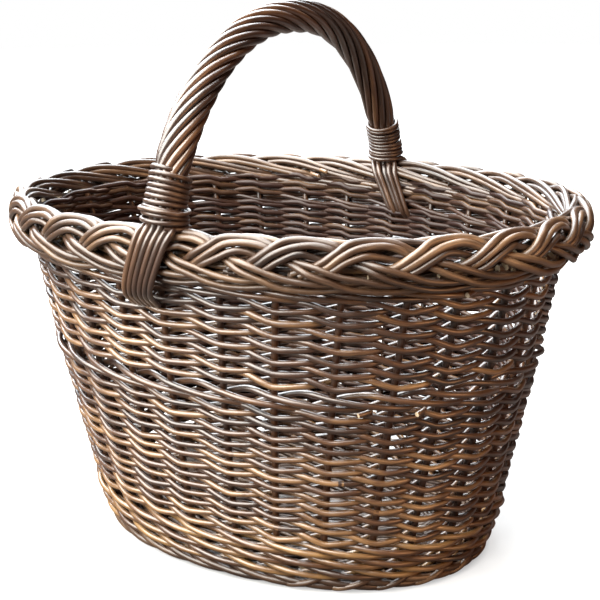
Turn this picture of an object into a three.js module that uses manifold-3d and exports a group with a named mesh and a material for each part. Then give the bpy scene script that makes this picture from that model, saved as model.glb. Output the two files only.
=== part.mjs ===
// An oval willow shopping basket with a plaited border and a rope-wound cross handle.
// Millimetres, +Z up. X runs along the basket and Y across it; the handle spans Y.
// The origin is at the middle of the base, on the surface that the basket stands on.
import * as THREE from "three";
import { mergeVertices } from "three/addons/utils/BufferGeometryUtils.js";
import Module from "manifold-3d";

// The gap that neighbouring rods keep between them.
const CLEARANCE = 0.4;

// Side stakes: the upright rods that everything is woven round.
const STAKE_COUNT = 28;
const STAKE_RADIUS = 2.8;
const STAKE_SIDES = 5;
// Where the first stake stands at the rim, and how far each leans over on the way up, in stake places.
const STAKE_SHIFT = -0.2;
const STAKE_LEAN = 0.35;

// The wall's middle surface, through the centres of the stakes: half length and half width at four heights.
const WALL_FOOT = { height: 12.2, halfLength: 165, halfWidth: 118.5 };
const WALL_TURN = { height: 43, halfLength: 174.5, halfWidth: 128.4 };
const WALL_WAIST = { height: 168.5, halfLength: 199.1, halfWidth: 157 };
const WALL_RIM = { height: 251, halfLength: 212.8, halfWidth: 172 };
// The power of the oval: 2 is an ellipse, and a little more fills out its corners.
const OVAL_POWER = 2.2;

// Foot border: a two-rod rope ring, worn flat underneath.
const FOOT_HALF_HEIGHT = 6.4;
const FOOT_HALF_WIDTH = 5.6;
const FOOT_WORN = 1;
const FOOT_SIDES = 6;

// Base: a woven oval floor on a pierced crossing of sticks.
const BASE_THICKNESS = 11;
const BASE_RINGS = 2;
const BASE_RIDGE = 0.8;
const LONG_STICK_COUNT = 3;
const LONG_STICK_WIDTH = 7;
const LONG_STICK_HEIGHT = 4;
const SHORT_STICK_COUNT = 6;
const SHORT_STICK_SPACING = 44;
const SHORT_STICK_WIDTH = 8;
const SHORT_STICK_HEIGHT = 7.4;
const STICK_SIDES = 8;

// Wales: bands of thicker rods that pass in front of two or three stakes and behind the next.
const WALE_REPEAT = 14;
const WALE_BEHIND = [1, 5, 8, 11];
const WALE_THICKNESS = 4.5;
const WALE_EASE = 0.1;
const UPSETT_HEIGHT = 19.5;
const UPSETT_DROP = 10;
const MIDDLE_WALE_HEIGHT = 15;
const TOP_WALE_HEIGHT = 9;

// Siding: rows of two rods that pass in turn in front of one stake and behind the next.
const LOWER_ROWS = 8;
const UPPER_ROWS = 5;
// How far its faces stand off the stakes' middle: over a stake in a row, over a stake between two rows,
// and halfway between two stakes.
const SIDING_CREST = 7;
const SIDING_VALLEY = 4.2;
const SIDING_BAY = 3.4;

// Plait border: three strands that swing from edge to edge and back, ten times round the rim.
const PLAIT_STRANDS = 3;
const PLAIT_PERIODS = 10;
const PLAIT_HALF_HEIGHT = 20.3;
const PLAIT_STRAND_HALF_HEIGHT = 7.7;
const PLAIT_STRAND_HALF_DEPTH = 3.8;
const PLAIT_STEPS = 12;
const PLAIT_SIDES = 5;
const PLAIT_CLEARANCE = 1.9;
const PLAIT_RING = { halfLength: 230.2, halfWidth: 180.2 };

// Handle: a bow whose sharpened ends run down inside the wall.
const BOW_RADIUS = 5.6;
const BOW_SPIKE_RADIUS = 2.5;
const BOW_SPIKE_FOOT = 205;
const BOW_HALF_SPAN = PLAIT_RING.halfWidth + 0.3;
const BOW_LEAN = 18;
const BOW_APEX = 427.5;
const BOW_SPREAD_POWER = 0.88;
const BOW_RISE_POWER = 1.28;
const BOW_STEPS = 24;
const BOW_SIDES = 6;

// Rope: rods laid round the bow, that turn ever more slowly from the -Y foot to the +Y foot.
const ROPE_RODS = 8;
const ROPE_ROD_RADIUS = 2.7;
const ROPE_SWELL = 1.4;
const ROPE_TWIST_SLOTS = 18;
const ROPE_SLACKENING = 0.75;
const ROPE_STEPS = 26;
const ROPE_STEP_EASE = 0.25;
const ROPE_SIDES = 5;
const ROPE_FOOT_PITCH = 5.8;
const ROPE_FOOT_LEAN = 17;

// Bindings: a thin rod whipped round each foot of the rope.
const BINDING_RADIUS = 1.5;
const BINDING_TURNS = 10;
const BINDING_GAP = 1.1;
const BINDING_STEPS = 12;
const BINDING_SIDES = 5;
const BINDING_LIFT = 5;
const BINDING_EASE = 0.3;

const wasm = await Module();
wasm.setup();

const basket = new THREE.Group();

// Finishes: steamed willow, varnished, in the shades of the different rods.
function willow(colour, roughness) {
  return new THREE.MeshStandardMaterial({ color: colour, roughness, metalness: 0 });
}
const SHADES = {
  stake: willow(0x5b3420, 0.5),
  weaver: willow(0x7a4a2b, 0.45),
  wale: willow(0x8a5632, 0.42),
  border: willow(0x7d4a2c, 0.38),
  handle: willow(0x86522f, 0.36),
  binding: willow(0x5f3824, 0.42),
  base: willow(0x6d442a, 0.55),
};

function add(name, geometry, shade) {
  const mesh = new THREE.Mesh(geometry, SHADES[shade]);
  mesh.name = name;
  basket.add(mesh);
  return mesh;
}

// A closed surface from rings of points: each ring is joined to the next, and the ends are joined
// to each other on a closed path, or covered with flat fans on an open one.
function sweep(rings, closed) {
  const sides = rings[0].length;
  const positions = rings.flat().flatMap((p) => [p.x, p.y, p.z]);
  const index = [];
  const joins = closed ? rings.length : rings.length - 1;
  for (let i = 0; i < joins; i++) {
    const here = i * sides;
    const next = ((i + 1) % rings.length) * sides;
    for (let k = 0; k < sides; k++) {
      const l = (k + 1) % sides;
      index.push(here + k, here + l, next + l, here + k, next + l, next + k);
    }
  }
  if (!closed) {
    const last = (rings.length - 1) * sides;
    for (let k = 1; k < sides - 1; k++) {
      index.push(0, k + 1, k);
      index.push(last, last + k, last + k + 1);
    }
  }
  return facingOut(positions, index);
}

// Turns a closed surface round if its faces point inwards.
function facingOut(positions, index) {
  const geometry = new THREE.BufferGeometry();
  geometry.setAttribute("position", new THREE.Float32BufferAttribute(positions, 3));
  geometry.setIndex(index);
  if (enclosedVolume(geometry) < 0) {
    for (let i = 0; i < index.length; i += 3) {
      [index[i + 1], index[i + 2]] = [index[i + 2], index[i + 1]];
    }
    geometry.setIndex(index);
  }
  geometry.computeVertexNormals();
  return geometry;
}

function enclosedVolume(geometry) {
  const at = geometry.attributes.position;
  const index = geometry.index.array;
  const [a, b, c] = [new THREE.Vector3(), new THREE.Vector3(), new THREE.Vector3()];
  let sum = 0;
  for (let i = 0; i < index.length; i += 3) {
    a.fromBufferAttribute(at, index[i]);
    b.fromBufferAttribute(at, index[i + 1]);
    c.fromBufferAttribute(at, index[i + 2]);
    sum += a.dot(b.cross(c)) / 6;
  }
  return sum;
}

// Between a geometry and a solid that can be cut.
function solidOf(geometry) {
  const bare = geometry.clone();
  bare.deleteAttribute("normal");
  bare.deleteAttribute("uv");
  const merged = mergeVertices(bare, 1e-4);
  return new wasm.Manifold(
    new wasm.Mesh({
      numProp: 3,
      vertProperties: merged.attributes.position.array,
      triVerts: new Uint32Array(merged.index.array),
    }),
  );
}

function geometryOf(solid) {
  const mesh = solid.getMesh();
  const geometry = new THREE.BufferGeometry();
  geometry.setAttribute("position", new THREE.Float32BufferAttribute(mesh.vertProperties, 3));
  geometry.setIndex([...mesh.triVerts]);
  geometry.computeVertexNormals();
  return geometry;
}

// A geometry with the space of each tool taken out of it.
function cut(geometry, tools) {
  let solid = solidOf(geometry);
  for (const tool of tools) {
    solid = solid.subtract(solidOf(tool));
  }
  return geometryOf(solid);
}

// A ring of points round a centre: an ellipse with half sizes p and q along two directions.
function ring(centre, along, across, p, q, sides, turn = 0) {
  return Array.from({ length: sides }, (_, k) => {
    const angle = turn + (2 * Math.PI * k) / sides;
    return centre
      .clone()
      .addScaledVector(along, p * Math.cos(angle))
      .addScaledVector(across, q * Math.sin(angle));
  });
}

// A tube of one radius, or of a radius for each point, along a list of points.
// Its section keeps the direction that lies nearest to the guide.
function tube(points, radius, sides, guide) {
  const radii = Array.isArray(radius) ? radius : points.map(() => radius);
  const rings = points.map((point, i) => {
    const ahead = points[Math.min(i + 1, points.length - 1)];
    const behind = points[Math.max(i - 1, 0)];
    const along = ahead.clone().sub(behind).normalize();
    const side = guide.clone().addScaledVector(along, -guide.dot(along)).normalize();
    const up = along.clone().cross(side);
    return ring(point, side, up, radii[i], radii[i], sides);
  });
  return sweep(rings, false);
}

// The oval: a point at an angle on a superellipse, and the outward direction there.
function ovalPoint(angle, halfLength, halfWidth) {
  const c = Math.cos(angle);
  const s = Math.sin(angle);
  const x = halfLength * Math.sign(c) * Math.abs(c) ** (2 / OVAL_POWER);
  const y = halfWidth * Math.sign(s) * Math.abs(s) ** (2 / OVAL_POWER);
  return new THREE.Vector3(x, y, 0);
}

function ovalNormal(point, halfLength, halfWidth) {
  const nx = (Math.sign(point.x) * (Math.abs(point.x) / halfLength) ** (OVAL_POWER - 1)) / halfLength;
  const ny = (Math.sign(point.y) * (Math.abs(point.y) / halfWidth) ** (OVAL_POWER - 1)) / halfWidth;
  return new THREE.Vector3(nx, ny, 0).normalize();
}

// Places: equal steps round the oval at the waist, one for each stake, counted from the +X end.
const TRACE_STEPS = 1440;
const trace = [0];
for (let i = 1; i <= TRACE_STEPS; i++) {
  const from = ovalPoint((2 * Math.PI * (i - 1)) / TRACE_STEPS, WALL_WAIST.halfLength, WALL_WAIST.halfWidth);
  const to = ovalPoint((2 * Math.PI * i) / TRACE_STEPS, WALL_WAIST.halfLength, WALL_WAIST.halfWidth);
  trace.push(trace[i - 1] + from.distanceTo(to));
}

function angleAt(place) {
  const wrapped = ((place % STAKE_COUNT) + STAKE_COUNT) % STAKE_COUNT;
  const target = (wrapped / STAKE_COUNT) * trace[TRACE_STEPS];
  const i = Math.max(trace.findIndex((length) => length >= target) - 1, 0);
  const share = (target - trace[i]) / (trace[i + 1] - trace[i]);
  return (2 * Math.PI * (i + share)) / TRACE_STEPS;
}

// The half sizes of the wall's middle surface at a height, straight between the four levels and beyond.
const LEVELS = [WALL_FOOT, WALL_TURN, WALL_WAIST, WALL_RIM];
function wallSize(height) {
  let i = LEVELS.findIndex((level) => height < level.height) - 1;
  if (i === -2) i = LEVELS.length - 2;
  if (i === -1) i = 0;
  const share = (height - LEVELS[i].height) / (LEVELS[i + 1].height - LEVELS[i].height);
  return {
    halfLength: THREE.MathUtils.lerp(LEVELS[i].halfLength, LEVELS[i + 1].halfLength, share),
    halfWidth: THREE.MathUtils.lerp(LEVELS[i].halfWidth, LEVELS[i + 1].halfWidth, share),
  };
}

// A point on the wall: at a place, how high, and how far out from the middle surface.
function surfacePoint(place, height, out = 0) {
  const { halfLength, halfWidth } = wallSize(height);
  const point = ovalPoint(angleAt(place), halfLength, halfWidth);
  const normal = ovalNormal(point, halfLength, halfWidth);
  point.z = height;
  return point.addScaledVector(normal, out);
}

// The same, counted along the row of stakes, which lean.
function wallPoint(stake, height, out = 0) {
  const below = (WALL_RIM.height - height) / (WALL_RIM.height - WALL_FOOT.height);
  return surfacePoint(stake + STAKE_SHIFT - STAKE_LEAN * below, height, out);
}

function wallOutward(stake, height) {
  return wallPoint(stake, height, 1).sub(wallPoint(stake, height, 0));
}

// Heights that stack up from the foot.
const footTop = 2 * FOOT_HALF_HEIGHT - FOOT_WORN;
const baseBottom = footTop + 0.3;
const baseTop = baseBottom + BASE_THICKNESS;
const baseMiddle = (baseBottom + baseTop) / 2;
const stakeFoot = footTop + CLEARANCE;
const upsettTop = baseTop + CLEARANCE + UPSETT_HEIGHT;
const middleWaleLow = WALL_WAIST.height - MIDDLE_WALE_HEIGHT / 2;
const middleWaleHigh = WALL_WAIST.height + MIDDLE_WALE_HEIGHT / 2;
const topWaleHigh = WALL_RIM.height;
const topWaleLow = topWaleHigh - TOP_WALE_HEIGHT;
const plaitMiddle = WALL_RIM.height + CLEARANCE + PLAIT_HALF_HEIGHT;
const plaitTop = plaitMiddle + PLAIT_HALF_HEIGHT;
const plaitFoot = plaitMiddle - PLAIT_HALF_HEIGHT;

// How far the plait's strands swing up and down and sway in and out, so that they clear where they cross.
const plaitSwing = PLAIT_HALF_HEIGHT - PLAIT_STRAND_HALF_HEIGHT;
const plaitSway = (PLAIT_STRAND_HALF_DEPTH + PLAIT_CLEARANCE) / Math.sin(Math.PI / PLAIT_STRANDS);

// Side stakes, bent where the wall's slope changes.
const stakeHeights = [stakeFoot, WALL_TURN.height, WALL_WAIST.height, WALL_RIM.height];

function makeStakes() {
  for (let k = 0; k < STAKE_COUNT; k++) {
    const name = `stake_${String(k + 1).padStart(2, "0")}`;
    const rings = stakeHeights.map((height) => {
      const outward = wallOutward(k, height);
      const around = new THREE.Vector3(-outward.y, outward.x, 0);
      return ring(wallPoint(k, height), outward, around, STAKE_RADIUS, STAKE_RADIUS, STAKE_SIDES);
    });
    add(name, sweep(rings, false), "stake");
  }
}

// Foot border: a six-sided rope ring, tall at each stake and wide between, cut flat where it stands.
function makeFootBorder() {
  const middle = FOOT_HALF_HEIGHT - FOOT_WORN;
  const up = new THREE.Vector3(0, 0, 1);
  const turn = Math.PI / FOOT_SIDES;
  const { halfLength, halfWidth } = wallSize(WALL_FOOT.height);
  const rings = [];
  for (let i = 0; i < 2 * STAKE_COUNT; i++) {
    const centre = wallPoint(i / 2, WALL_FOOT.height).setZ(middle);
    const outward = wallOutward(i / 2, WALL_FOOT.height);
    const tall = (i % 2 === 0 ? FOOT_HALF_HEIGHT : FOOT_HALF_WIDTH) / Math.cos(turn);
    const wide = i % 2 === 0 ? FOOT_HALF_WIDTH : FOOT_HALF_HEIGHT;
    rings.push(ring(centre, up, outward, tall, wide, FOOT_SIDES, turn));
  }
  const floor = new THREE.BoxGeometry(3 * halfLength, 3 * halfWidth, FOOT_HALF_HEIGHT);
  floor.translate(0, 0, -FOOT_HALF_HEIGHT / 2);
  add("foot_border", cut(sweep(rings, true), [floor]), "border");
}

// Base sticks and the woven floor round them.
const baseEdge = -(STAKE_RADIUS + CLEARANCE);
const slotWidth = LONG_STICK_COUNT * (LONG_STICK_WIDTH + CLEARANCE) + CLEARANCE;

function prism(centre, along, across, length, width, height, sides) {
  const up = new THREE.Vector3(0, 0, 1);
  const half = along.clone().multiplyScalar(length / 2);
  const turn = Math.PI / sides;
  const reach = 1 / Math.cos(turn);
  const ends = [centre.clone().sub(half), centre.clone().add(half)];
  const [halfWidth, halfHeight] = [(width / 2) * reach, (height / 2) * reach];
  const rings = ends.map((end) => ring(end, across, up, halfWidth, halfHeight, sides, turn));
  return sweep(rings, false);
}

function baseReach(x) {
  const { halfLength, halfWidth } = wallSize(baseMiddle);
  const share = Math.abs(x) / (halfLength + baseEdge);
  return (halfWidth + baseEdge) * (1 - share ** OVAL_POWER) ** (1 / OVAL_POWER);
}

function makeBase() {
  const X = new THREE.Vector3(1, 0, 0);
  const Y = new THREE.Vector3(0, 1, 0);
  const centre = new THREE.Vector3(0, 0, baseMiddle);
  const size = wallSize(baseMiddle);
  const longReach = 2 * (size.halfLength + baseEdge) - 4;
  const tools = [];

  const slot = new THREE.BoxGeometry(3 * size.halfLength, slotWidth, LONG_STICK_HEIGHT + 2 * CLEARANCE);
  slot.translate(0, 0, baseMiddle);
  tools.push(slot);
  for (let i = 0; i < LONG_STICK_COUNT; i++) {
    const y = (i - (LONG_STICK_COUNT - 1) / 2) * (LONG_STICK_WIDTH + CLEARANCE);
    const place = centre.clone().setY(y);
    const stick = prism(place, X, Y, longReach, LONG_STICK_WIDTH, LONG_STICK_HEIGHT, STICK_SIDES);
    add(`base_long_stick_${i + 1}`, stick, "base");
  }

  for (let i = 0; i < SHORT_STICK_COUNT; i++) {
    const x = (i - (SHORT_STICK_COUNT - 1) / 2) * SHORT_STICK_SPACING;
    const place = centre.clone().setX(x);
    const length = 2 * baseReach(Math.abs(x) + SHORT_STICK_WIDTH / 2) - 1;
    const stick = prism(place, Y, X, length, SHORT_STICK_WIDTH, SHORT_STICK_HEIGHT, STICK_SIDES);
    add(`base_short_stick_${i + 1}`, cut(stick, [slot]), "base");
    const gap = 2 * CLEARANCE;
    const [passWidth, passHeight] = [SHORT_STICK_WIDTH + gap, SHORT_STICK_HEIGHT + gap];
    const passage = new THREE.BoxGeometry(passWidth, 3 * size.halfWidth, passHeight);
    passage.translate(x, 0, baseMiddle);
    tools.push(passage);
  }

  // The floor: an oval disc with a ridge for each round of weaving, above and below.
  const positions = [0, 0, baseTop, 0, 0, baseBottom];
  const rounds = 2 * BASE_RINGS;
  for (let r = 1; r <= rounds; r++) {
    const share = r / rounds;
    const ridge = r % 2 === 0 && r < rounds ? BASE_RIDGE : 0;
    for (const height of [baseTop - ridge, baseBottom + ridge]) {
      for (let k = 0; k < STAKE_COUNT; k++) {
        const edge = wallPoint(k, height, baseEdge);
        positions.push(edge.x * share, edge.y * share, height);
      }
    }
  }
  const at = (r, below, k) => 2 + ((r - 1) * 2 + below) * STAKE_COUNT + (k % STAKE_COUNT);
  const index = [];
  for (let k = 0; k < STAKE_COUNT; k++) {
    index.push(0, at(1, 0, k), at(1, 0, k + 1));
    index.push(1, at(1, 1, k + 1), at(1, 1, k));
    for (let r = 1; r < rounds; r++) {
      index.push(at(r, 0, k), at(r + 1, 0, k), at(r + 1, 0, k + 1));
      index.push(at(r, 0, k), at(r + 1, 0, k + 1), at(r, 0, k + 1));
      index.push(at(r, 1, k), at(r + 1, 1, k + 1), at(r + 1, 1, k));
      index.push(at(r, 1, k), at(r, 1, k + 1), at(r + 1, 1, k + 1));
    }
    index.push(at(rounds, 0, k), at(rounds, 1, k), at(rounds, 1, k + 1));
    index.push(at(rounds, 0, k), at(rounds, 1, k + 1), at(rounds, 0, k + 1));
  }
  add("base_weave", cut(facingOut(positions, index), tools), "base");
}

// A wale: a flat band of rods.
const waleReach = STAKE_RADIUS + CLEARANCE + WALE_EASE + WALE_THICKNESS / 2;

// Which side of the wall a wale is on: 1 in front, -1 behind, 0 as it crosses between two stakes.
function waleSide(stake) {
  const sideAt = (k) => (WALE_BEHIND.includes(k % WALE_REPEAT) ? -1 : 1);
  return (sideAt(Math.floor(stake)) + sideAt(Math.ceil(stake))) / 2;
}

// The band reaches from low to high, and lower by the drop where it is in front.
function makeWale(name, low, high, drop) {
  const rings = [];
  for (let i = 0; i < 2 * STAKE_COUNT; i++) {
    const stake = i / 2;
    const side = waleSide(stake);
    const inner = side * waleReach - WALE_THICKNESS / 2;
    const outer = side * waleReach + WALE_THICKNESS / 2;
    const foot = side === 1 ? low - drop : low;
    rings.push([
      wallPoint(stake, foot, inner),
      wallPoint(stake, foot, outer),
      wallPoint(stake, high, outer),
      wallPoint(stake, high, inner),
    ]);
  }
  add(name, sweep(rings, true), "wale");
}

// Siding: a wall that swells over each stake in each row and draws in between, on both faces.
// A square channel runs up through it for each stake.
function makeSiding(name, low, high, rows, tools) {
  const levels = 2 * rows;
  const positions = [];
  const put = (point) => positions.push(point.x, point.y, point.z);
  const heightOf = (level) => THREE.MathUtils.lerp(low, high, level / levels);
  for (let level = 0; level <= levels; level++) {
    const swell = level % 2 === 1 ? SIDING_CREST : SIDING_VALLEY;
    for (const out of [swell, -swell]) {
      for (let k = 0; k < STAKE_COUNT; k++) {
        put(wallPoint(k, heightOf(level), out));
      }
    }
  }
  const bays = positions.length / 3;
  for (let row = 0; row <= rows; row++) {
    for (const out of [SIDING_BAY, -SIDING_BAY]) {
      for (let k = 0; k < STAKE_COUNT; k++) {
        put(wallPoint(k + 0.5, heightOf(2 * row), out));
      }
    }
  }
  const channels = positions.length / 3;
  const corner = (STAKE_RADIUS + CLEARANCE) * Math.SQRT2;
  for (const height of [low, high]) {
    for (let k = 0; k < STAKE_COUNT; k++) {
      const outward = wallOutward(k, height);
      const around = new THREE.Vector3(-outward.y, outward.x, 0);
      ring(wallPoint(k, height), outward, around, corner, corner, 4, Math.PI / 4).forEach(put);
    }
  }

  const at = (level, face, k) => (level * 2 + face) * STAKE_COUNT + (k % STAKE_COUNT);
  const bay = (row, face, k) => bays + (row * 2 + face) * STAKE_COUNT + k;
  // The corners of a channel, in turn: outward and forward, inward and forward, then the two behind.
  const hole = (end, k, c) => channels + (end * STAKE_COUNT + (k % STAKE_COUNT)) * 4 + (c % 4);
  const index = [];
  const face = (turned, ...corners) => index.push(...(turned ? corners.reverse() : corners));
  for (let k = 0; k < STAKE_COUNT; k++) {
    for (let row = 0; row < rows; row++) {
      for (const side of [0, 1]) {
        const [below, above] = [bay(row, side, k), bay(row + 1, side, k)];
        const [crest, next] = [at(2 * row + 1, side, k), at(2 * row + 1, side, k + 1)];
        face(side === 1, crest, below, above);
        face(side === 1, next, above, below);
        face(side === 1, crest, at(2 * row, side, k), below);
        face(side === 1, crest, above, at(2 * row + 2, side, k));
        face(side === 1, next, below, at(2 * row, side, k + 1));
        face(side === 1, next, at(2 * row + 2, side, k + 1), above);
      }
    }
    for (let c = 0; c < 4; c++) {
      index.push(hole(0, k, c), hole(1, k, c + 1), hole(0, k, c + 1));
      index.push(hole(0, k, c), hole(1, k, c), hole(1, k, c + 1));
    }
    for (const end of [0, 1]) {
      const up = end === 1;
      const [outer, inner] = [at(end * levels, 0, k), at(end * levels, 1, k)];
      const [outerNext, innerNext] = [at(end * levels, 0, k + 1), at(end * levels, 1, k + 1)];
      const [outerBay, innerBay] = [bay(end * rows, 0, k), bay(end * rows, 1, k)];
      face(up, outer, hole(end, k, 0), outerBay);
      face(up, hole(end, k, 0), hole(end, k, 1), outerBay);
      face(up, hole(end, k, 1), innerBay, outerBay);
      face(up, hole(end, k, 1), inner, innerBay);
      face(up, outerBay, innerBay, hole(end, k + 1, 2));
      face(up, outerBay, hole(end, k + 1, 2), hole(end, k + 1, 3));
      face(up, outerBay, hole(end, k + 1, 3), outerNext);
      face(up, innerBay, innerNext, hole(end, k + 1, 2));
      face(up, outer, hole(end, k, 3), hole(end, k, 0));
      face(up, inner, hole(end, k, 1), hole(end, k, 2));
    }
  }
  add(name, cut(facingOut(positions, index), tools), "weaver");
}

// Plait border: each strand sways in and out twice for each swing up and down.
function makePlait() {
  const steps = PLAIT_PERIODS * PLAIT_STEPS;
  const centre = (strand, i) => {
    const phase = 2 * Math.PI * (i / PLAIT_STEPS + strand / PLAIT_STRANDS);
    const point = ovalPoint(angleAt((STAKE_COUNT * i) / steps), PLAIT_RING.halfLength, PLAIT_RING.halfWidth);
    const outward = ovalNormal(point, PLAIT_RING.halfLength, PLAIT_RING.halfWidth);
    point.addScaledVector(outward, plaitSway * Math.sin(2 * phase));
    point.z = plaitMiddle + plaitSwing * Math.sin(phase);
    return { point, outward };
  };
  for (let strand = 0; strand < PLAIT_STRANDS; strand++) {
    const rings = [];
    for (let i = 0; i < steps; i++) {
      const { point, outward } = centre(strand, i);
      const along = centre(strand, i + 1).point.sub(centre(strand, i - 1).point).normalize();
      const across = outward.clone().addScaledVector(along, -outward.dot(along)).normalize();
      const upright = along.clone().cross(across);
      const [depth, height] = [PLAIT_STRAND_HALF_DEPTH, PLAIT_STRAND_HALF_HEIGHT];
      rings.push(ring(point, across, upright, depth, height, PLAIT_SIDES, Math.PI / PLAIT_SIDES));
    }
    add(`plait_strand_${strand + 1}`, sweep(rings, true), "border");
  }
}

// Handle. Its arch stands in the plane x = 0.
const FAR_PLACE = STAKE_COUNT / 4;
const archFoot = plaitTop + CLEARANCE;

// A point of the arch, from 0 at the -Y foot to 1 at the +Y foot.
function archPoint(share) {
  const c = Math.cos(Math.PI * share);
  const y = -BOW_HALF_SPAN * Math.sign(c) * Math.abs(c) ** BOW_SPREAD_POWER;
  const z = archFoot + (BOW_APEX - archFoot) * Math.abs(Math.sin(Math.PI * share)) ** BOW_RISE_POWER;
  return new THREE.Vector3(0, y, z);
}

// The arch's length up to each of many shares, so that places on it can be given as lengths.
const archTrace = [{ share: 0, length: 0 }];
const ARCH_TRACE_STEPS = 400;
for (let i = 1; i <= ARCH_TRACE_STEPS; i++) {
  const step = archPoint(i / ARCH_TRACE_STEPS).distanceTo(archPoint((i - 1) / ARCH_TRACE_STEPS));
  archTrace.push({ share: i / ARCH_TRACE_STEPS, length: archTrace[i - 1].length + step });
}
const archLength = archTrace[ARCH_TRACE_STEPS].length;

function archFrame(length) {
  const reached = archTrace.findIndex((mark) => mark.length >= Math.min(length, archLength));
  const i = Math.max(reached, 1);
  const [before, after] = [archTrace[i - 1], archTrace[i]];
  const share = THREE.MathUtils.mapLinear(length, before.length, after.length, before.share, after.share);
  const small = 1e-3;
  const centre = archPoint(share);
  const along = archPoint(Math.min(share + small, 1)).sub(archPoint(Math.max(share - small, 0))).normalize();
  const outward = new THREE.Vector3(0, -along.z, along.y);
  return { centre, along, outward };
}

// The share of its lean that a foot has reached at a height: all of it at the wall's rim.
function leanAt(height) {
  return (archFoot - height) / (archFoot - WALL_RIM.height);
}

// The spike's middle line: down inside the plait, then in the wall.
const plaitInside = PLAIT_RING.halfWidth - plaitSway - PLAIT_STRAND_HALF_DEPTH;
function spikePoint(sign, height, y) {
  return new THREE.Vector3(sign * BOW_LEAN * Math.min(leanAt(height), 1.15), sign * y, height);
}
function spikePoints(sign) {
  const inWall = (height) => spikePoint(sign, height, surfacePoint(FAR_PLACE, height).y - 1.2);
  return [
    inWall(BOW_SPIKE_FOOT),
    inWall(topWaleLow),
    spikePoint(sign, plaitFoot + 6, plaitInside - BOW_SPIKE_RADIUS),
    spikePoint(sign, plaitMiddle + 6, plaitInside - 1),
    spikePoint(sign, plaitTop - 6, plaitInside + 4),
  ];
}

function makeBow() {
  const near = spikePoints(-1);
  const points = [...near];
  const radii = near.map(() => BOW_SPIKE_RADIUS);
  for (let i = 0; i <= BOW_STEPS; i++) {
    points.push(archFrame((archLength * i) / BOW_STEPS).centre);
    radii.push(i === 0 || i === BOW_STEPS ? (BOW_SPIKE_RADIUS + BOW_RADIUS) / 2 : BOW_RADIUS);
  }
  for (const point of spikePoints(1).reverse()) {
    points.push(point);
    radii.push(BOW_SPIKE_RADIUS);
  }
  add("handle_bow", tube(points, radii, BOW_SIDES, new THREE.Vector3(1, 0, 0)), "handle");
}

// The channels in the upper siding that hold the bow's spikes.
function spikeChannels() {
  const reach = (BOW_SPIKE_RADIUS + CLEARANCE) * Math.SQRT2;
  return [-1, 1].map((sign) => {
    const [foot, top] = spikePoints(sign);
    const along = top.clone().sub(foot);
    const ends = [foot.clone().addScaledVector(along, -0.02), top.clone().addScaledVector(along, 0.1)];
    return tube(ends, reach, 4, new THREE.Vector3(1, 1, 0));
  });
}

// How far the rope's rods lie from the bow's middle, and how far they have turned.
const ropeHug = BOW_RADIUS + CLEARANCE + ROPE_ROD_RADIUS;
const bindingPitch = 2 * BINDING_RADIUS + BINDING_GAP;
const bindingLength = BINDING_TURNS * bindingPitch;

function ropeReach(length) {
  const fromEnd = Math.min(length, archLength - length) - BINDING_LIFT - bindingLength;
  return ropeHug + ROPE_SWELL * THREE.MathUtils.smoothstep(fromEnd, 0, 2 * bindingPitch);
}

function ropeTwist(length) {
  const u = length / archLength;
  const turned = (u - (ROPE_SLACKENING * u * u) / 2) / (1 - ROPE_SLACKENING / 2);
  return turned * ((2 * Math.PI) / ROPE_RODS) * ROPE_TWIST_SLOTS;
}

// Where a rod runs below the arch: outside the border and under it, or down inside it.
const plaitFace = PLAIT_RING.halfWidth + plaitSway + PLAIT_STRAND_HALF_DEPTH;
const rodClear = ROPE_ROD_RADIUS + CLEARANCE;
const wallFace = surfacePoint(FAR_PLACE, topWaleLow).y + waleReach + WALE_THICKNESS / 2;
const OUTSIDE_ROUTE = [
  { y: plaitFace + rodClear - 3, height: plaitTop - 1 },
  { y: plaitFace + rodClear, height: plaitTop - 8 },
  { y: plaitFace + rodClear, height: plaitFoot + 6 },
  { y: plaitFace - 1, height: plaitFoot - 2 },
  { y: wallFace + 5, height: plaitFoot - 7 },
  { y: wallFace + 2, height: plaitFoot - 9.5 },
];
const INSIDE_ROUTE = [
  { y: plaitInside + 0.2, height: plaitTop - 4 },
  { y: plaitInside - rodClear, height: plaitMiddle + 10 },
  { y: plaitInside - rodClear - 0.5, height: plaitFoot + 3 },
];

// The x of the places that a foot's rods take up, from one side to the other.
const OUTSIDE_PLACES = [-1.5, -0.5, 0.5, 1.5];
const INSIDE_PLACES = [-2, -1, 1, 2];

function footPoints(turn, sign) {
  const slot = (2 * Math.PI) / ROPE_RODS;
  const outside = Math.cos(turn) > 0;
  const route = outside ? OUTSIDE_ROUTE : INSIDE_ROUTE;
  const order = Math.round(Math.asin(Math.sin(turn)) / slot + 1.5);
  const place = (outside ? OUTSIDE_PLACES : INSIDE_PLACES)[order];
  const lean = outside ? ROPE_FOOT_LEAN : BOW_LEAN;
  return route.map(({ y, height }) => {
    const x = place * ROPE_FOOT_PITCH + sign * lean * leanAt(height);
    return new THREE.Vector3(x, sign * y, height);
  });
}

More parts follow.
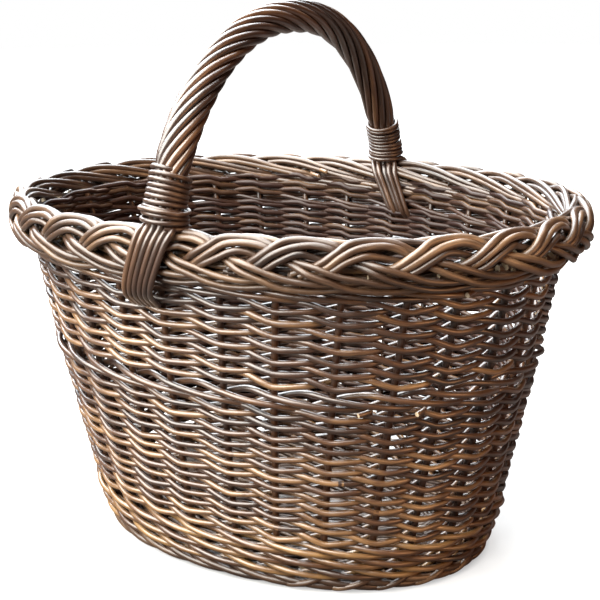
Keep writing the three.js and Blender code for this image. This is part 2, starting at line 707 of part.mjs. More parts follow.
function makeRope() {
  const slot = (2 * Math.PI) / ROPE_RODS;
  const start = 1;
  for (let rod = 0; rod < ROPE_RODS; rod++) {
    const first = slot * (rod + 0.5);
    const points = footPoints(first, -1).reverse();
    for (let i = 0; i <= ROPE_STEPS; i++) {
      const share = i / ROPE_STEPS;
      const eased = share - (ROPE_STEP_EASE * Math.sin(2 * Math.PI * share)) / (2 * Math.PI);
      const length = THREE.MathUtils.lerp(start, archLength - start, eased);
      const { centre, outward } = archFrame(length);
      const turned = i === 0 ? 0 : i === ROPE_STEPS ? slot * ROPE_TWIST_SLOTS : ropeTwist(length);
      const angle = first + turned;
      const reach = ropeReach(length);
      centre.addScaledVector(outward, reach * Math.cos(angle));
      centre.x += reach * Math.sin(angle);
      points.push(centre);
    }
    points.push(...footPoints(first + slot * ROPE_TWIST_SLOTS, 1));
    const guide = new THREE.Vector3(1, 0, 0);
    add(`handle_rod_${rod + 1}`, tube(points, ROPE_ROD_RADIUS, ROPE_SIDES, guide), "handle");
  }
}

// A binding: one unbroken coil round the rope, its two ends running on straight for one diameter.
function makeBinding(name, from) {
  const reach = ropeHug + ROPE_ROD_RADIUS + CLEARANCE + BINDING_EASE + BINDING_RADIUS;
  const steps = BINDING_TURNS * BINDING_STEPS;
  const points = [];
  for (let i = 0; i <= steps; i++) {
    const { centre, outward } = archFrame(from + (bindingLength * i) / steps);
    const angle = (2 * Math.PI * i) / BINDING_STEPS;
    centre.addScaledVector(outward, reach * Math.cos(angle));
    centre.x += reach * Math.sin(angle);
    points.push(centre);
  }
  console.log(`${name}: least gap between turns ${leastGap(points).toFixed(2)} mm`);
  const lead = (end, next) => end.clone().add(end.clone().sub(next).setLength(2 * BINDING_RADIUS));
  points.unshift(lead(points[0], points[1]));
  points.push(lead(points[points.length - 1], points[points.length - 2]));
  const rings = points.map((point, i) => {
    const before = points[Math.max(i - 1, 0)];
    const after = points[Math.min(i + 1, points.length - 1)];
    const along = after.clone().sub(before).normalize();
    const { centre } = archFrame(from + (bindingLength * THREE.MathUtils.clamp(i - 1, 0, steps)) / steps);
    const away = point.clone().sub(centre);
    away.addScaledVector(along, -away.dot(along)).normalize();
    return ring(point, away, along.clone().cross(away), BINDING_RADIUS, BINDING_RADIUS, BINDING_SIDES);
  });
  add(name, sweep(rings, false), "binding");
}

// The least distance between the middle line and itself half a turn or more along, less one diameter.
function leastGap(points) {
  let least = Infinity;
  for (let i = 0; i < points.length; i++) {
    for (let j = i + BINDING_STEPS / 2; j < points.length; j++) {
      least = Math.min(least, points[i].distanceTo(points[j]));
    }
  }
  return least - 2 * BINDING_RADIUS;
}

makeStakes();
makeFootBorder();
makeBase();
makeWale("upsett_wale", baseTop + CLEARANCE, upsettTop, UPSETT_DROP);
makeSiding("lower_siding", upsettTop + CLEARANCE, middleWaleLow - CLEARANCE, LOWER_ROWS, []);
makeWale("middle_wale", middleWaleLow, middleWaleHigh, 0);
makeSiding("upper_siding", middleWaleHigh + CLEARANCE, topWaleLow - CLEARANCE, UPPER_ROWS, spikeChannels());
makeWale("top_wale", topWaleLow, topWaleHigh, 0);
makePlait();
makeBow();
makeRope();
makeBinding("handle_binding_front", BINDING_LIFT);
makeBinding("handle_binding_back", archLength - BINDING_LIFT - bindingLength);

export default basket;
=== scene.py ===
"""An oval willow basket with a plaited border and a rope-wound cross handle, built rod by rod."""
import math

import bpy
import numpy as np
from mathutils import Matrix


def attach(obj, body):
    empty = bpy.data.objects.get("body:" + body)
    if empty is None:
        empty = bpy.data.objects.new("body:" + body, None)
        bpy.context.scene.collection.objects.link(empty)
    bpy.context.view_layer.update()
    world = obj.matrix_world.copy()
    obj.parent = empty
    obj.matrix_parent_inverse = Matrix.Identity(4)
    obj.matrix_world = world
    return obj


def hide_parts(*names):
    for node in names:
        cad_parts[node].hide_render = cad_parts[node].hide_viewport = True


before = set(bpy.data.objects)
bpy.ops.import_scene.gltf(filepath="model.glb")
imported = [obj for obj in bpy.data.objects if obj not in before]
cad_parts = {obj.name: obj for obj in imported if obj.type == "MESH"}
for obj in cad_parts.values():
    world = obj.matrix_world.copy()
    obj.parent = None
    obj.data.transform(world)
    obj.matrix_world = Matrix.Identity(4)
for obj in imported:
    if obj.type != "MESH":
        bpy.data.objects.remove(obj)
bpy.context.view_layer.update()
chance = np.random.default_rng(28)

# Lengths below are in millimetres and become metres when a mesh is made.
MM = 0.001
STAKES = 28
# Counted in stakes: where the first one stands, and how far each leans round the wall from rim to foot.
STAKE_SHIFT = -0.2
STAKE_LEAN = 0.35
# The oval's power, where 2 is an ellipse.
POWER = 2.2
LEVEL_HEIGHT = [12.2, 43, 168.5, 251]
LEVEL_LENGTH = [165, 174.5, 199.1, 212.8]
LEVEL_WIDTH = [118.5, 128.4, 157, 172]
FOOT, RIM = LEVEL_HEIGHT[0], LEVEL_HEIGHT[-1]
# Growth of half the length and half the width per millimetre of height, over the rim and under the foot.
FLARE_OVER = (0.166, 0.18)
FLARE_UNDER = (0.31, 0.32)
# Each rod's bark starts somewhere along so many metres of it.
BARK_SPAN = 7


# The oval and the wall.
def oval(angle, length, width):
    c, s = np.cos(angle), np.sin(angle)
    x = length * np.sign(c) * np.abs(c) ** (2 / POWER)
    y = width * np.sign(s) * np.abs(s) ** (2 / POWER)
    return np.stack([x, y], -1)


def oval_normal(point, length, width):
    x, y = point[..., 0], point[..., 1]
    nx = np.sign(x) * (np.abs(x) / length) ** (POWER - 1) / length
    ny = np.sign(y) * (np.abs(y) / width) ** (POWER - 1) / width
    normal = np.stack([nx, ny], -1)
    return normal / np.linalg.norm(normal, axis=-1, keepdims=True)


def trace(line):
    """The length reached at each point of a line."""
    return np.concatenate([[0], np.cumsum(np.linalg.norm(np.diff(line, axis=0), axis=1))])


TURN = np.linspace(0, 2 * np.pi, 2881)
WAIST_TRACE = trace(oval(TURN, LEVEL_LENGTH[2], LEVEL_WIDTH[2]))


def angle_at(place, traced):
    """The oval's angle at a place, counted in stakes of equal length along a traced oval."""
    return np.interp((np.asarray(place, float) / STAKES % 1) * traced[-1], traced, TURN)


def half_sizes(height):
    height = np.asarray(height, float)
    length = np.interp(height, LEVEL_HEIGHT, LEVEL_LENGTH)
    width = np.interp(height, LEVEL_HEIGHT, LEVEL_WIDTH)
    over = np.maximum(height - RIM, 0)
    under = np.minimum(height - FOOT, 0)
    return (
        length + FLARE_OVER[0] * over + FLARE_UNDER[0] * under,
        width + FLARE_OVER[1] * over + FLARE_UNDER[1] * under,
    )


def surface(place, height, out):
    """Points at places round the wall, at heights, and so far outward of the stakes' middle."""
    place, height, out = np.broadcast_arrays(place, height, out)
    length, width = half_sizes(height)
    xy = oval(angle_at(place, WAIST_TRACE), length, width)
    normal = oval_normal(xy, length, width)
    return np.concatenate([xy + normal * out[..., None], height[..., None].astype(float)], -1)


STAKE_DRIFT = chance.normal(0, 0.035, STAKES)


def wall(stake, height, out):
    """The same, counted along the leaning stakes, which stand a little unevenly."""
    stake = np.asarray(stake, float)
    drift = np.interp(stake % STAKES, np.arange(STAKES + 1), np.append(STAKE_DRIFT, STAKE_DRIFT[0]))
    below = (RIM - np.asarray(height, float)) / (RIM - FOOT)
    return surface(stake + drift + STAKE_SHIFT - STAKE_LEAN * below, height, out)


def outward_at(points):
    length, width = half_sizes(points[:, 2])
    normal = oval_normal(points[:, :2], length, width)
    return np.concatenate([normal, np.zeros((len(points), 1))], -1)


# Curves and rods.
def eased(share):
    return share * share * (3 - 2 * share)


def unit(vectors):
    return vectors / np.linalg.norm(vectors, axis=-1, keepdims=True)


def spline(rows, steps, closed=False):
    """A smooth curve through rows of values, with so many steps from each row to the next."""
    P = np.asarray(rows, float)
    if closed:
        P = np.vstack([P[-1:], P, P[:2]])
    else:
        P = np.vstack([2 * P[0] - P[1], P, 2 * P[-1] - P[-2]])
    t = np.linspace(0, 1, steps, endpoint=False)[:, None]
    parts = []
    for i in range(1, len(P) - 2):
        a, b, c, d = P[i - 1 : i + 3]
        once, squared, cubed = c - a, 2 * a - 5 * b + 4 * c - d, 3 * b - a - 3 * c + d
        parts.append(0.5 * (2 * b + once * t + squared * t**2 + cubed * t**3))
    if not closed:
        parts.append(P[-2:-1])
    return np.vstack(parts)


def wavering(n, amount, knots, closed=True):
    """A gentle random variation along a rod."""
    values = chance.normal(0, amount, knots)
    if closed:
        places = np.linspace(0, knots, n, endpoint=False)
        return np.interp(places, np.arange(knots + 1), np.append(values, values[0]))
    return np.interp(np.linspace(0, knots - 1, n), np.arange(knots), values)


class Rods:
    """A piece made of round rods. Each rod keeps its own tone, and its lengthwise coordinate for the bark."""

    def __init__(self, name, nodes, slot, material):
        self.name, self.nodes, self.slot, self.material = name, nodes, slot, material
        self.points, self.faces, self.uvs, self.tones, self.smooth = [], [], [], [], []
        self.count = 0

    def rod(self, path, radius, guide, sides, closed=False, tone=None, painted_shade=0.0):
        """Add a rod along a path. The guide is the direction that its lit, varnished side faces.
        The side away from it can be painted darker, as shade, and less varnished.

        A point's colour holds the rod's tone, 1 on a cut end, a number of the rod's own, and 1 less its
        painted shade, which also sets how varnished it is.
        """
        P = np.asarray(path, float)
        n = len(P)
        radius = np.broadcast_to(np.asarray(radius, float), (n,))
        if closed:
            along = np.roll(P, -1, 0) - np.roll(P, 1, 0)
            lengths = np.linalg.norm(np.roll(P, -1, 0) - P, axis=1)
        else:
            along = np.gradient(P, axis=0)
            lengths = np.append(np.linalg.norm(np.diff(P, axis=0), axis=1), 0)
        along = unit(along)
        guide = np.broadcast_to(np.asarray(guide, float), (n, 3))
        side = unit(guide - along * np.sum(guide * along, -1, keepdims=True))
        up = np.cross(along, side)
        turn = 2 * np.pi * np.arange(sides) / sides + np.pi
        ring = P[:, None] + radius[:, None, None] * (
            np.cos(turn)[None, :, None] * side[:, None] + np.sin(turn)[None, :, None] * up[:, None]
        )
        if tone is None:
            tone = float(chance.random())
        start = float(chance.random()) * BARK_SPAN
        # Painted shade: the side away from the guide is painted darker, and less varnished.
        shade = 1 - painted_shade * np.clip(0.35 - 1.3 * np.cos(turn), 0, 1)
        tones = np.tile([tone, 0.0, start / BARK_SPAN, 1.0], (n * sides, 1))
        tones[:, 3] = np.tile(shade, n)
        base = self.count
        self.points.append(ring.reshape(-1, 3))
        self.tones.append(tones)
        self.count += n * sides
        joins = n if closed else n - 1
        i = np.repeat(np.arange(joins), sides)
        k = np.tile(np.arange(sides), joins)
        j, l = (i + 1) % n, (k + 1) % sides
        quads = base + np.stack([i * sides + k, i * sides + l, j * sides + l, j * sides + k], -1)
        self.faces.extend(quads.tolist())
        self.smooth.extend([True] * len(quads))
        reached = np.concatenate([[0], np.cumsum(lengths)]) * MM + start
        u0, u1 = reached[i], reached[i + 1]
        v0, v1 = k / sides, (k + 1) / sides
        corners = [np.stack(pair, -1) for pair in ((u0, v0), (u0, v1), (u1, v1), (u1, v0))]
        self.uvs.append(np.stack(corners, 1).reshape(-1, 2))
        if closed:
            return
        for place, way in ((0, -1), (n - 1, 1)):
            order = np.arange(sides)[::way]
            edge = 2 * np.pi * order / sides
            self.points.append(ring[place])
            self.tones.append(np.tile([tone, 1.0, start / BARK_SPAN, 1.0], (sides, 1)))
            self.faces.append((self.count + order).tolist())
            self.smooth.append(False)
            # A small patch of the bark's coordinates, of which a cut end shows only the relief.
            self.uvs.append(np.stack([start + 0.003 * np.cos(edge), 0.5 + 0.4 * np.sin(edge)], -1))
            self.count += sides

    def make(self):
        mesh = bpy.data.meshes.new(self.name)
        mesh.from_pydata((np.vstack(self.points) * MM).tolist(), [], self.faces)
        mesh.polygons.foreach_set("use_smooth", self.smooth)
        layer = mesh.uv_layers.new(name="bark")
        layer.data.foreach_set("uv", np.vstack(self.uvs).astype(np.float32).ravel())
        # Its alpha holds 1 less each point's painted shade.
        tone = mesh.color_attributes.new("tone", "FLOAT_COLOR", "POINT")
        tone.data.foreach_set("color", np.vstack(self.tones).astype(np.float32).ravel())
        mesh.materials.append(self.material)
        mesh.update()
        piece = bpy.data.objects.new(self.name, mesh)
        bpy.context.scene.collection.objects.link(piece)
        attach(piece, "root")
        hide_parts(*self.nodes)


# Shader nodes. A value is a number, a colour or another node's socket.
def feed(tree, socket, value):
    if isinstance(value, bpy.types.NodeSocket):
        tree.links.new(value, socket)
    else:
        socket.default_value = value


def maths(tree, operation, a, b):
    node = tree.nodes.new("ShaderNodeMath")
    node.operation = operation
    feed(tree, node.inputs[0], a)
    feed(tree, node.inputs[1], b)
    return node.outputs[0]


def mapped(tree, value, source, target, easing="LINEAR"):
    """The value carried over from one range to another, and kept within it."""
    node = tree.nodes.new("ShaderNodeMapRange")
    node.interpolation_type = easing
    node.inputs["From Min"].default_value, node.inputs["From Max"].default_value = source
    node.inputs["To Min"].default_value, node.inputs["To Max"].default_value = target
    feed(tree, node.inputs["Value"], value)
    return node.outputs["Result"]


def blended(tree, share, a, b):
    """The colour a where the share is 0, and b where it is 1."""
    node = tree.nodes.new("ShaderNodeMix")
    node.data_type = "RGBA"
    feed(tree, node.inputs["Factor"], share)
    feed(tree, node.inputs["A"], a)
    feed(tree, node.inputs["B"], b)
    return node.outputs["Result"]


# Materials.
# Painted shade: the dark bark that the side of a rod away from its guide is blended toward.
PAINTED_SHADE_BARK = (0.02, 0.01, 0.009, 1)
CUT_WOOD = (0.62, 0.5, 0.34, 1)
VARNISH_IOR = 1.65


def willow(name, dark, middle, light, gloss, coat, coat_roughness):
    """Varnished willow bark: streaks along the rod, mottling, each rod in its own tone, and pale cut ends."""
    material = bpy.data.materials.new(name)
    material.use_nodes = True
    tree = material.node_tree
    tree.nodes.clear()
    new, link = tree.nodes.new, tree.links.new
    output = new("ShaderNodeOutputMaterial")
    shader = new("ShaderNodeBsdfPrincipled")
    link(shader.outputs["BSDF"], output.inputs["Surface"])
    uv = new("ShaderNodeUVMap")
    uv.uv_map = "bark"
    split = new("ShaderNodeSeparateXYZ")
    link(uv.outputs["UV"], split.inputs["Vector"])
    attribute = new("ShaderNodeAttribute")
    attribute.attribute_name = "tone"
    parts = new("ShaderNodeSeparateColor")
    link(attribute.outputs["Color"], parts.inputs["Color"])
    tone, is_cut, own_number = (parts.outputs[part] for part in ("Red", "Green", "Blue"))
    # Alpha is 1 less the painted shade, low on the side of a rod away from its guide.
    varnish_and_painted_shade = attribute.outputs["Alpha"]

    def noise(lengthwise, across, scale, detail, roughness):
        """Noise stretched along the rod and round it, of the rod's own."""
        place = new("ShaderNodeCombineXYZ")
        link(maths(tree, "MULTIPLY", split.outputs["X"], lengthwise), place.inputs["X"])
        link(maths(tree, "MULTIPLY", split.outputs["Y"], across), place.inputs["Y"])
        link(own_number, place.inputs["Z"])
        node = new("ShaderNodeTexNoise")
        link(place.outputs["Vector"], node.inputs["Vector"])
        for setting, value in (("Scale", scale), ("Detail", detail), ("Roughness", roughness)):
            node.inputs[setting].default_value = value
        return node.outputs["Fac"]

    streaks = noise(26, 3.5, 3.0, 5, 0.6)
    mottle = noise(14, 0.8, 1.6, 3, 0.5)
    fine = noise(40, 6, 4.0, 6, 0.65)
    streaked = mapped(tree, streaks, (0.3, 0.7), (-0.17, 0.17))
    mottled = mapped(tree, mottle, (0.3, 0.7), (-0.2, 0.2))
    ramp = new("ShaderNodeValToRGB")
    stops = ramp.color_ramp.elements
    stops.new(0.5)
    for stop, position, colour in zip(stops, (0.05, 0.5, 0.95), (dark, middle, light)):
        stop.position = position
        stop.color = (*colour, 1)
    pattern = maths(tree, "ADD", streaked, mottled)
    link(maths(tree, "ADD", pattern, mapped(tree, tone, (0, 1), (0.2, 0.8))), ramp.inputs["Fac"])
    # Painted shade: the bark is blended toward dark where alpha is low.
    bark = blended(tree, varnish_and_painted_shade, PAINTED_SHADE_BARK, ramp.outputs["Color"])
    link(blended(tree, is_cut, bark, CUT_WOOD), shader.inputs["Base Color"])
    link(mapped(tree, fine, (0.3, 0.7), (gloss - 0.07, gloss + 0.14)), shader.inputs["Roughness"])
    bump = new("ShaderNodeBump")
    bump.inputs["Strength"].default_value = 0.35
    bump.inputs["Distance"].default_value = 0.0004
    grain = mapped(tree, fine, (0.2, 0.8), (0, 0.6))
    ridges = mapped(tree, streaks, (0.2, 0.8), (0, 0.8))
    link(maths(tree, "ADD", grain, ridges), bump.inputs["Height"])
    link(bump.outputs["Normal"], shader.inputs["Normal"])
    # There the rod is also less glossy and less varnished.
    link(mapped(tree, varnish_and_painted_shade, (0, 1), (0.1, 0.55)), shader.inputs["Specular IOR Level"])
    link(mapped(tree, varnish_and_painted_shade, (0, 1), (0, coat)), shader.inputs["Coat Weight"])
    shader.inputs["Coat IOR"].default_value = VARNISH_IOR
    shader.inputs["Coat Roughness"].default_value = coat_roughness
    return material


# For each use: dark, middle and light bark, its roughness, the varnish's weight and its roughness.
BARKS = {
    "stake": ((0.01, 0.004, 0.0025), (0.034, 0.013, 0.006), (0.08, 0.034, 0.014), 0.4, 0.5, 0.3),
    "weaver": ((0.014, 0.0052, 0.0026), (0.07, 0.028, 0.011), (0.24, 0.13, 0.052), 0.38, 0.9, 0.3),
    "wale": ((0.018, 0.007, 0.0034), (0.088, 0.036, 0.013), (0.26, 0.145, 0.052), 0.36, 0.9, 0.3),
    "border": ((0.013, 0.006, 0.0038), (0.056, 0.027, 0.0135), (0.17, 0.098, 0.05), 0.36, 0.45, 0.33),
    "handle": ((0.01, 0.004, 0.0022), (0.043, 0.0168, 0.0072), (0.125, 0.059, 0.025), 0.33, 1.0, 0.36),
    "binding": ((0.01, 0.0041, 0.0023), (0.038, 0.0157, 0.0075), (0.1, 0.05, 0.024), 0.36, 0.65, 0.33),
    # The floor's bark is dark brown, and darker still as painted shade for the inside seen through the wall.
    "base": ((0.01, 0.0045, 0.0025), (0.032, 0.0145, 0.0072), (0.075, 0.04, 0.019), 0.55, 0.15, 0.4),
}
BARK = {use: willow(f"willow_{use}", *values) for use, values in BARKS.items()}


# Stakes: from the foot border up into the plait, where they lean out a little more.
STAKE_RADIUS = 2.7
STAKE_FOOT, STAKE_TOP, STAKE_FLARE = 8, 272, 0.1
STAKE_HEIGHTS = np.linspace(STAKE_FOOT, STAKE_TOP, 30)
STAKE_OUT = np.where(STAKE_HEIGHTS > RIM, (STAKE_HEIGHTS - RIM) * STAKE_FLARE, 0)
for k in range(STAKES):
    piece = Rods(f"side_stake_{k + 1:02d}", [f"stake_{k + 1:02d}"], "stake", BARK["stake"])
    path = wall(np.full(len(STAKE_HEIGHTS), float(k)), STAKE_HEIGHTS, STAKE_OUT)
    piece.rod(path, STAKE_RADIUS * np.linspace(1.03, 0.95, len(path)), outward_at(path), 10)
    piece.make()


# Siding: two rods to a row; at each stake one passes in front and the other behind.
# A rod's way past one stake in front and the next behind: place, height and outward reach.
# On the near side it falls steeply to the stake that it passes; on the far side it swaps heights with
# its partner behind each stake.
NEAR_FLOAT = [
    (-0.6, 4.3, 0.3), (-0.45, 3.3, 0.58), (-0.2, 0.0, 0.92), (0.0, -2.5, 1.0), (0.2, -2.6, 0.94),
    (0.45, -2.3, 0.66), (0.6, -2.0, 0.35), (0.8, -1.4, -0.5), (1.0, 0.4, -1.0), (1.2, 2.8, -0.6),
]
FAR_FLOAT = [
    (-0.5, 1.7, 0.0), (-0.2, 0.6, 0.86), (-0.1, 0.4, 0.96), (0.0, -1.2, 1.0), (0.1, -2.7, 0.96),
    (0.2, -2.8, 0.86), (0.5, -1.7, 0.0), (0.8, -0.6, -0.86), (0.9, -0.4, -0.96), (1.0, 1.2, -1.0),
    (1.1, 2.7, -0.96), (1.2, 2.8, -0.86),
]
FLOAT_STEPS = 6


def float_curve(rows):
    count = len(rows)
    curve = spline(rows, FLOAT_STEPS, closed=True)
    places = [row[0] for row in rows] + [rows[0][0] + 2]
    curve[:, 0] = np.interp(np.arange(FLOAT_STEPS * count) / FLOAT_STEPS, np.arange(count + 1), places)
    return curve


NEAR_CURVE, FAR_CURVE = float_curve(NEAR_FLOAT), float_curve(FAR_FLOAT)
# How far each place belongs to the far side, and how thick the rods are there.
FAR_SHARE = [(0, 0), (1, 0), (2.2, 1), (13.6, 1), (14.8, 0), (28, 0)]
FAR_RADIUS = 2.38
# The far side's own rows reach from one place to the other.
FAR_REACH = (0.4, 14.7)
ROW_STEPS = 10
# How much painted shade the siding rods get on the side that faces into the basket.
SIDING_PAINTED_SHADE = 0.85


def along_float(u, curve, column):
    return np.interp(u, curve[:, 0], curve[:, column], period=2)


def siding_row(name, node, near, far, radius, swing, reach=(0, STAKES)):
    """A row of siding whose height changes from the near side of the basket to the far side."""
    piece = Rods(name, [node], "weaver", BARK["weaver"])
    whole = reach == (0, STAKES)
    s = np.arange(int(reach[0] * ROW_STEPS), int(reach[1] * ROW_STEPS)) / ROW_STEPS
    n = len(s)
    lift = wavering(n, 0.4, STAKES * 2)
    share = eased(np.interp(s, *zip(*FAR_SHARE)))
    height = near + (far - near) * share
    for parity in (0, 1):
        thick = radius + (FAR_RADIUS - radius) * share
        thick = thick * (1 + wavering(n, 0.045, 40) + chance.normal(0, 0.035))
        # A row on the far side only thins out at both ends.
        if not whole:
            thick = thick * np.clip(np.minimum(s - s[0], s[-1] - s) / 2 + 0.45, 0, 1)
        u = (s - parity + 0.6) % 2 - 0.6
        rise = (1 - share) * swing * along_float(u, NEAR_CURVE, 1) + share * along_float(u, FAR_CURVE, 1)
        rise = rise * (1 + wavering(n, 0.09, STAKES))
        out = (1 - share) * along_float(u, NEAR_CURVE, 2) + share * along_float(u, FAR_CURVE, 2)
        out = out * (STAKE_RADIUS + thick + 0.05)
        path = wall(s, height + rise + wavering(n, 0.3, STAKES) + lift, out)
        # Each whole round is made of three rods, laid end to end.
        if whole:
            cuts = sorted(int(c) for c in (chance.random(3) * 0.6 + np.arange(3) + 0.2) / 3 * n)
            spans = [(cuts[0], cuts[1]), (cuts[1], cuts[2]), (cuts[2], cuts[0] + n)]
        else:
            spans = [(0, n - 2)]
        for first, last in spans:
            pick = np.arange(first, last + 2) % n
            piece.rod(path[pick], thick[pick], outward_at(path[pick]), 8, painted_shade=SIDING_PAINTED_SHADE)
    piece.make()


# Heights on the near side and on the far side, where rows are closer and more of them fit in each band.
LOWER_NEAR = np.linspace(50.4, 156.4, 13)
LOWER_FAR = np.linspace(47.5, 158.5, 18)
UPPER_NEAR = np.array([182.2, 191.6, 201.0, 211.0, 221.0, 230.6, 239.6])
UPPER_FAR = np.linspace(177.5, 244.4, 11)
RIM_HEIGHTS = (256.4, 263.2, 269.6)


def siding(band, node, near, far, extra, radius, swing):
    """A band of rows. Those numbered in extra are only on the far side."""
    kept = [height for row, height in enumerate(far) if row not in extra]
    for row, heights in enumerate(zip(near, kept)):
        siding_row(f"{band}_weavers_{row + 1:02d}", node, *heights, radius, swing)
    for number, row in enumerate(extra):
        name = f"{band}_far_weavers_{number + 1:02d}"
        between = (near[row - number - 1] + near[row - number]) / 2
        siding_row(name, node, between, far[row], radius * 0.98, swing, FAR_REACH)


siding("lower", "lower_siding", LOWER_NEAR, LOWER_FAR, (2, 6, 9, 12, 15), 2.38, 0.86)
siding("upper", "upper_siding", UPPER_NEAR, UPPER_FAR, (2, 4, 6, 8), 2.4, 1.0)
for row, height in enumerate(RIM_HEIGHTS):
    siding_row(f"rim_weavers_{row + 1}", "top_wale", height, height, 2.1, 0.6)


# Wales.
# How much painted shade the wale rods get on the side that faces into the basket.
WALE_PAINTED_SHADE = 0.75


def wale_round(piece, height, radius, drop, seam, steps, sides):
    """Three rods, each in front of two stakes and behind the third, that end at a seam.

    Drop is how far a rod falls on its way past the two stakes.
    """
    reach = STAKE_RADIUS + radius + 0.15
    for rod in range(3):
        thick = radius * (1 + chance.normal(0, 0.05))
        rows = []
        tone = float(chance.random())
        for stake in range(STAKES + 2):
            u = (stake - rod) % 3
            fall = drop * (1 + chance.normal(0, 0.06))
            # In front at u = 0 and 1, behind at u = 2.
            if u == 0:
                rows += [(stake - 0.5, 0.45 * fall, -0.1 * reach), (stake, 0.25 * fall, reach)]
            elif u == 1:
                rows += [(stake - 0.5, 0.0, reach + radius * 0.9), (stake, -0.25 * fall, reach)]
            else:
                rows += [(stake - 0.5, -0.45 * fall, -0.1 * reach), (stake, 0.0, -reach)]
        path = spline(rows, steps)
        points = wall(path[:, 0] + seam + rod, height + path[:, 1], path[:, 2])
        n = len(points)
        taper = np.interp(np.arange(n), [0, n * 0.5, n], [1.04, 1, 0.92])
        piece.rod(points, thick * taper, outward_at(points), sides, tone=tone, painted_shade=WALE_PAINTED_SHADE)


def cut_ends(piece, ends):
    """Pale cut ends of rods that stick out of the weave, by place, height, outward reach and thickness."""
    for place, height, out, thick in ends:
        path = wall(
            place + np.array([0.22, 0.12, 0.0]),
            height + np.array([1.4, 0.9, 0]),
            out + np.sign(out) * np.array([-6.0, -2.5, 0]),
        )
        piece.rod(path, thick, (0, 0, 1), 8, tone=0.7)


upsett = Rods("upsett_wale_rods", ["upsett_wale"], "wale", BARK["wale"])
for turn, height in enumerate((17.2, 27.8, 38.4)):
    wale_round(upsett, height, radius=2.5, drop=10.4, seam=8 + turn, steps=4, sides=8)
upsett.make()
middle = Rods("middle_wale_rods", ["middle_wale"], "wale", BARK["wale"])
wale_round(middle, 167.6, radius=2.45, drop=13, seam=9, steps=5, sides=10)
cut_ends(middle, [(24.43, 160.0, 8.0, 1.9), (25.46, 158.5, 8.0, 1.9)])
middle.make()
top = Rods("top_wale_rods", ["top_wale"], "wale", BARK["wale"])
wale_round(top, 248.6, radius=2.2, drop=8, seam=10, steps=4, sides=8)
cut_ends(top, [(26.0, 247.0, 9.5, 1.9), (8.6, 273.5, -10.5, 1.8), (8.42, 277.5, -9.5, 1.8)])
top.make()


# Foot border: each rod runs over the outside, falls, and tucks in under the next. A short end rises over
# it, but not where the rods lie close. The rows are place, height and outward reach.
FOOT_OVER = [
    (-0.55, 12.0, -3.5), (-0.25, 11.2, 0.5), (0.1, 9.6, 4.4), (0.6, 7.2, 5.8), (1.1, 4.9, 5.4),
    (1.5, 3.4, 2.5), (1.85, 3.3, -2.0),
]
FOOT_RISE = [(0.1, 3.2, 0.0), (0.35, 4.0, 5.6), (0.7, 7.6, 7.4), (1.0, 11.4, 4.6), (1.2, 13.0, 0.5)]
CLOSE_RODS = range(15, 23)


def foot_rod(piece, rows, k, shift, radii):
    path = spline([(k + s + shift, z, o) for s, z, o in rows], 5)
    points = wall(path[:, 0], path[:, 1], path[:, 2])
    piece.rod(points, np.linspace(*radii, len(points)), (0, 0, 1), 10)


foot = Rods("foot_border_rods", ["foot_border"], "border", BARK["border"])
for k in range(STAKES):
    shift = chance.normal(0, 0.04)
    foot_rod(foot, FOOT_OVER, k, shift, (3.0, 2.7))
    if k not in CLOSE_RODS:
        foot_rod(foot, FOOT_RISE, k, shift, (2.6, 2.4))
foot.make()


# Base: a cross of sticks with pairs of rods woven round it.
BASE_MIDDLE = 17.6
# The short sticks end so far inside the stakes' middle.
BASE_EDGE = 3.2
LONG_REACH, LONG_PITCH, LONG_RADIUS = 162, 7.4, 3.3
SHORT_X = [-110, -66, -22, 22, 66, 110]
# The short sticks are split wide where the long sticks pass through.
SHORT_RADIUS, SPLIT_RADIUS, SPLIT_REACH = 3.7, 4.4, 24
for i in range(3):
    piece = Rods(f"floor_long_stick_{i + 1}", [f"base_long_stick_{i + 1}"], "base", BARK["base"])
    xs = np.linspace(-LONG_REACH, LONG_REACH, 12)
    path = np.stack([xs, np.full(len(xs), (i - 1) * LONG_PITCH), np.full(len(xs), BASE_MIDDLE)], -1)
    piece.rod(path, LONG_RADIUS, (0, 0, 1), 12)
    piece.make()


def base_reach(x):
    length, width = half_sizes(BASE_MIDDLE)
    return (width - BASE_EDGE) * (1 - (abs(x) / (length - BASE_EDGE)) ** POWER) ** (1 / POWER)


for i, x in enumerate(SHORT_X):
    piece = Rods(f"floor_short_stick_{i + 1}", [f"base_short_stick_{i + 1}"], "base", BARK["base"])
    reach = base_reach(abs(x) + 4) - 0.5
    ys = np.linspace(-reach, reach, 14)
    path = np.stack([np.full(len(ys), float(x)), ys, np.full(len(ys), BASE_MIDDLE)], -1)
    piece.rod(path, np.where(np.abs(ys) < SPLIT_REACH, SPLIT_RADIUS, SHORT_RADIUS), (0, 0, 1), 12)
    piece.make()

floor_weave = Rods("floor_weave", ["base_weave"], "base", BARK["base"])
